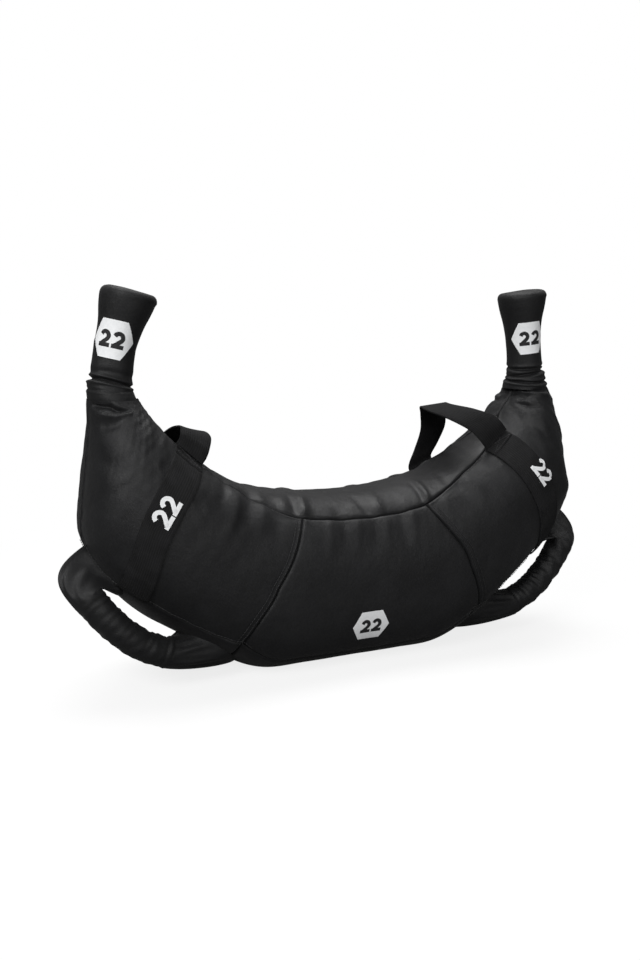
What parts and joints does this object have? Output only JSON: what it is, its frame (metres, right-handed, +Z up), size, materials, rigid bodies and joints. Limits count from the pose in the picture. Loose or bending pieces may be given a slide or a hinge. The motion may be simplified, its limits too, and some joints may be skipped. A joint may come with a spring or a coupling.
{
  "type": "bulgarian bag",
  "caption": "Crescent training bag standing on its belly: sand filled cover with seamed panels and webbing bands, bending horn grips, webbing straps and padded side handles",
  "frame": {"origin": "on the floor under the middle of the belly, which is the middle of the bounding box's bottom face", "axes": "+X towards the horn on the right in the picture, -Y towards the printed front, +Z up"},
  "size_m": [0.6767, 0.1804, 0.4379],
  "materials": {
    "panel": "black coated fabric with a soft sheen",
    "gusset": "black coated fabric, gathered at the seams",
    "webbing": "matt black woven webbing",
    "grip": "black coated fabric stretched over padding",
    "cuff": "black coated fabric, folded",
    "core": "rolled dense padding, hidden",
    "inner_bag": "sand filled inner bag, hidden",
    "wadding": "loose wadding, hidden"
  },
  "bodies": {
    "bag": {"sand_bag": "inner_bag", "left_wadding": "wadding", "right_wadding": "wadding", "front_centre_panel": "panel", "back_centre_panel": "panel", "front_left_panel": "panel", "back_left_panel": "panel", "front_right_panel": "panel", "back_right_panel": "panel", "inner_gusset": "gusset", "base_gusset": "gusset", "left_side_gusset": "gusset", "right_side_gusset": "gusset", "front_left_band": "webbing", "front_right_band": "webbing", "back_left_band": "webbing", "back_right_band": "webbing", "front_left_strap_end": "webbing", "front_right_strap_end": "webbing", "back_left_strap_end": "webbing", "back_right_strap_end": "webbing", "left_upper_handle_flare": "grip", "left_lower_handle_flare": "grip", "right_upper_handle_flare": "grip", "right_lower_handle_flare": "grip"},
    "left_neck": {"left_neck_cuff": "cuff"},
    "left_grip": {"left_grip_core": "core", "left_grip_sleeve": "grip", "left_grip_end_cap": "grip"},
    "left_strap": {"left_strap": "webbing"},
    "left_handle": {"left_handle_core": "core", "left_handle_cover": "grip"},
    "right_neck": {"right_neck_cuff": "cuff"},
    "right_grip": {"right_grip_core": "core", "right_grip_sleeve": "grip", "right_grip_end_cap": "grip"},
    "right_strap": {"right_strap": "webbing"},
    "right_handle": {"right_handle_core": "core", "right_handle_cover": "grip"}
  },
  "joints": [
    {"name": "left_neck_rock", "type": "hinge", "parent": "bag", "child": "left_neck", "pos_m": [-0.26976, 0, 0.32602], "axis": [1, 0, 0], "range_deg": [-15, 15], "stiffness_Nm_per_rad": 3},
    {"name": "left_grip_swing", "type": "hinge", "parent": "left_neck", "child": "left_grip", "pos_m": [-0.26976, 0, 0.32602], "axis": [0, 1, 0], "range_deg": [-20, 20], "stiffness_Nm_per_rad": 3},
    {"name": "left_strap_flop", "type": "hinge", "parent": "bag", "child": "left_strap", "pos_m": [-0.1986, -0.0403, 0.2574], "axis": [0.0468, 0.9484, -0.3137], "range_deg": [-6, 20], "stiffness_Nm_per_rad": 0.15},
    {"name": "left_handle_swing", "type": "hinge", "parent": "bag", "child": "left_handle", "pos_m": [-0.26695, -0.0346, 0.0887], "axis": [0.7669, -0.0211, -0.6415], "range_deg": [-25, 45], "stiffness_Nm_per_rad": 0.6},
    {"name": "right_neck_rock", "type": "hinge", "parent": "bag", "child": "right_neck", "pos_m": [0.26976, 0, 0.32602], "axis": [1, 0, 0], "range_deg": [-15, 15], "stiffness_Nm_per_rad": 3},
    {"name": "right_grip_swing", "type": "hinge", "parent": "right_neck", "child": "right_grip", "pos_m": [0.26976, 0, 0.32602], "axis": [0, 1, 0], "range_deg": [-20, 20], "stiffness_Nm_per_rad": 3},
    {"name": "right_strap_flop", "type": "hinge", "parent": "bag", "child": "right_strap", "pos_m": [0.1986, -0.0403, 0.2574], "axis": [-0.2363, 0.8782, -0.4158], "range_deg": [-20, 20], "stiffness_Nm_per_rad": 0.15},
    {"name": "right_handle_swing", "type": "hinge", "parent": "bag", "child": "right_handle", "pos_m": [0.26695, -0.0346, 0.0887], "axis": [-0.7669, -0.0211, -0.6415], "range_deg": [-45, 25], "stiffness_Nm_per_rad": 0.6}
  ]
}
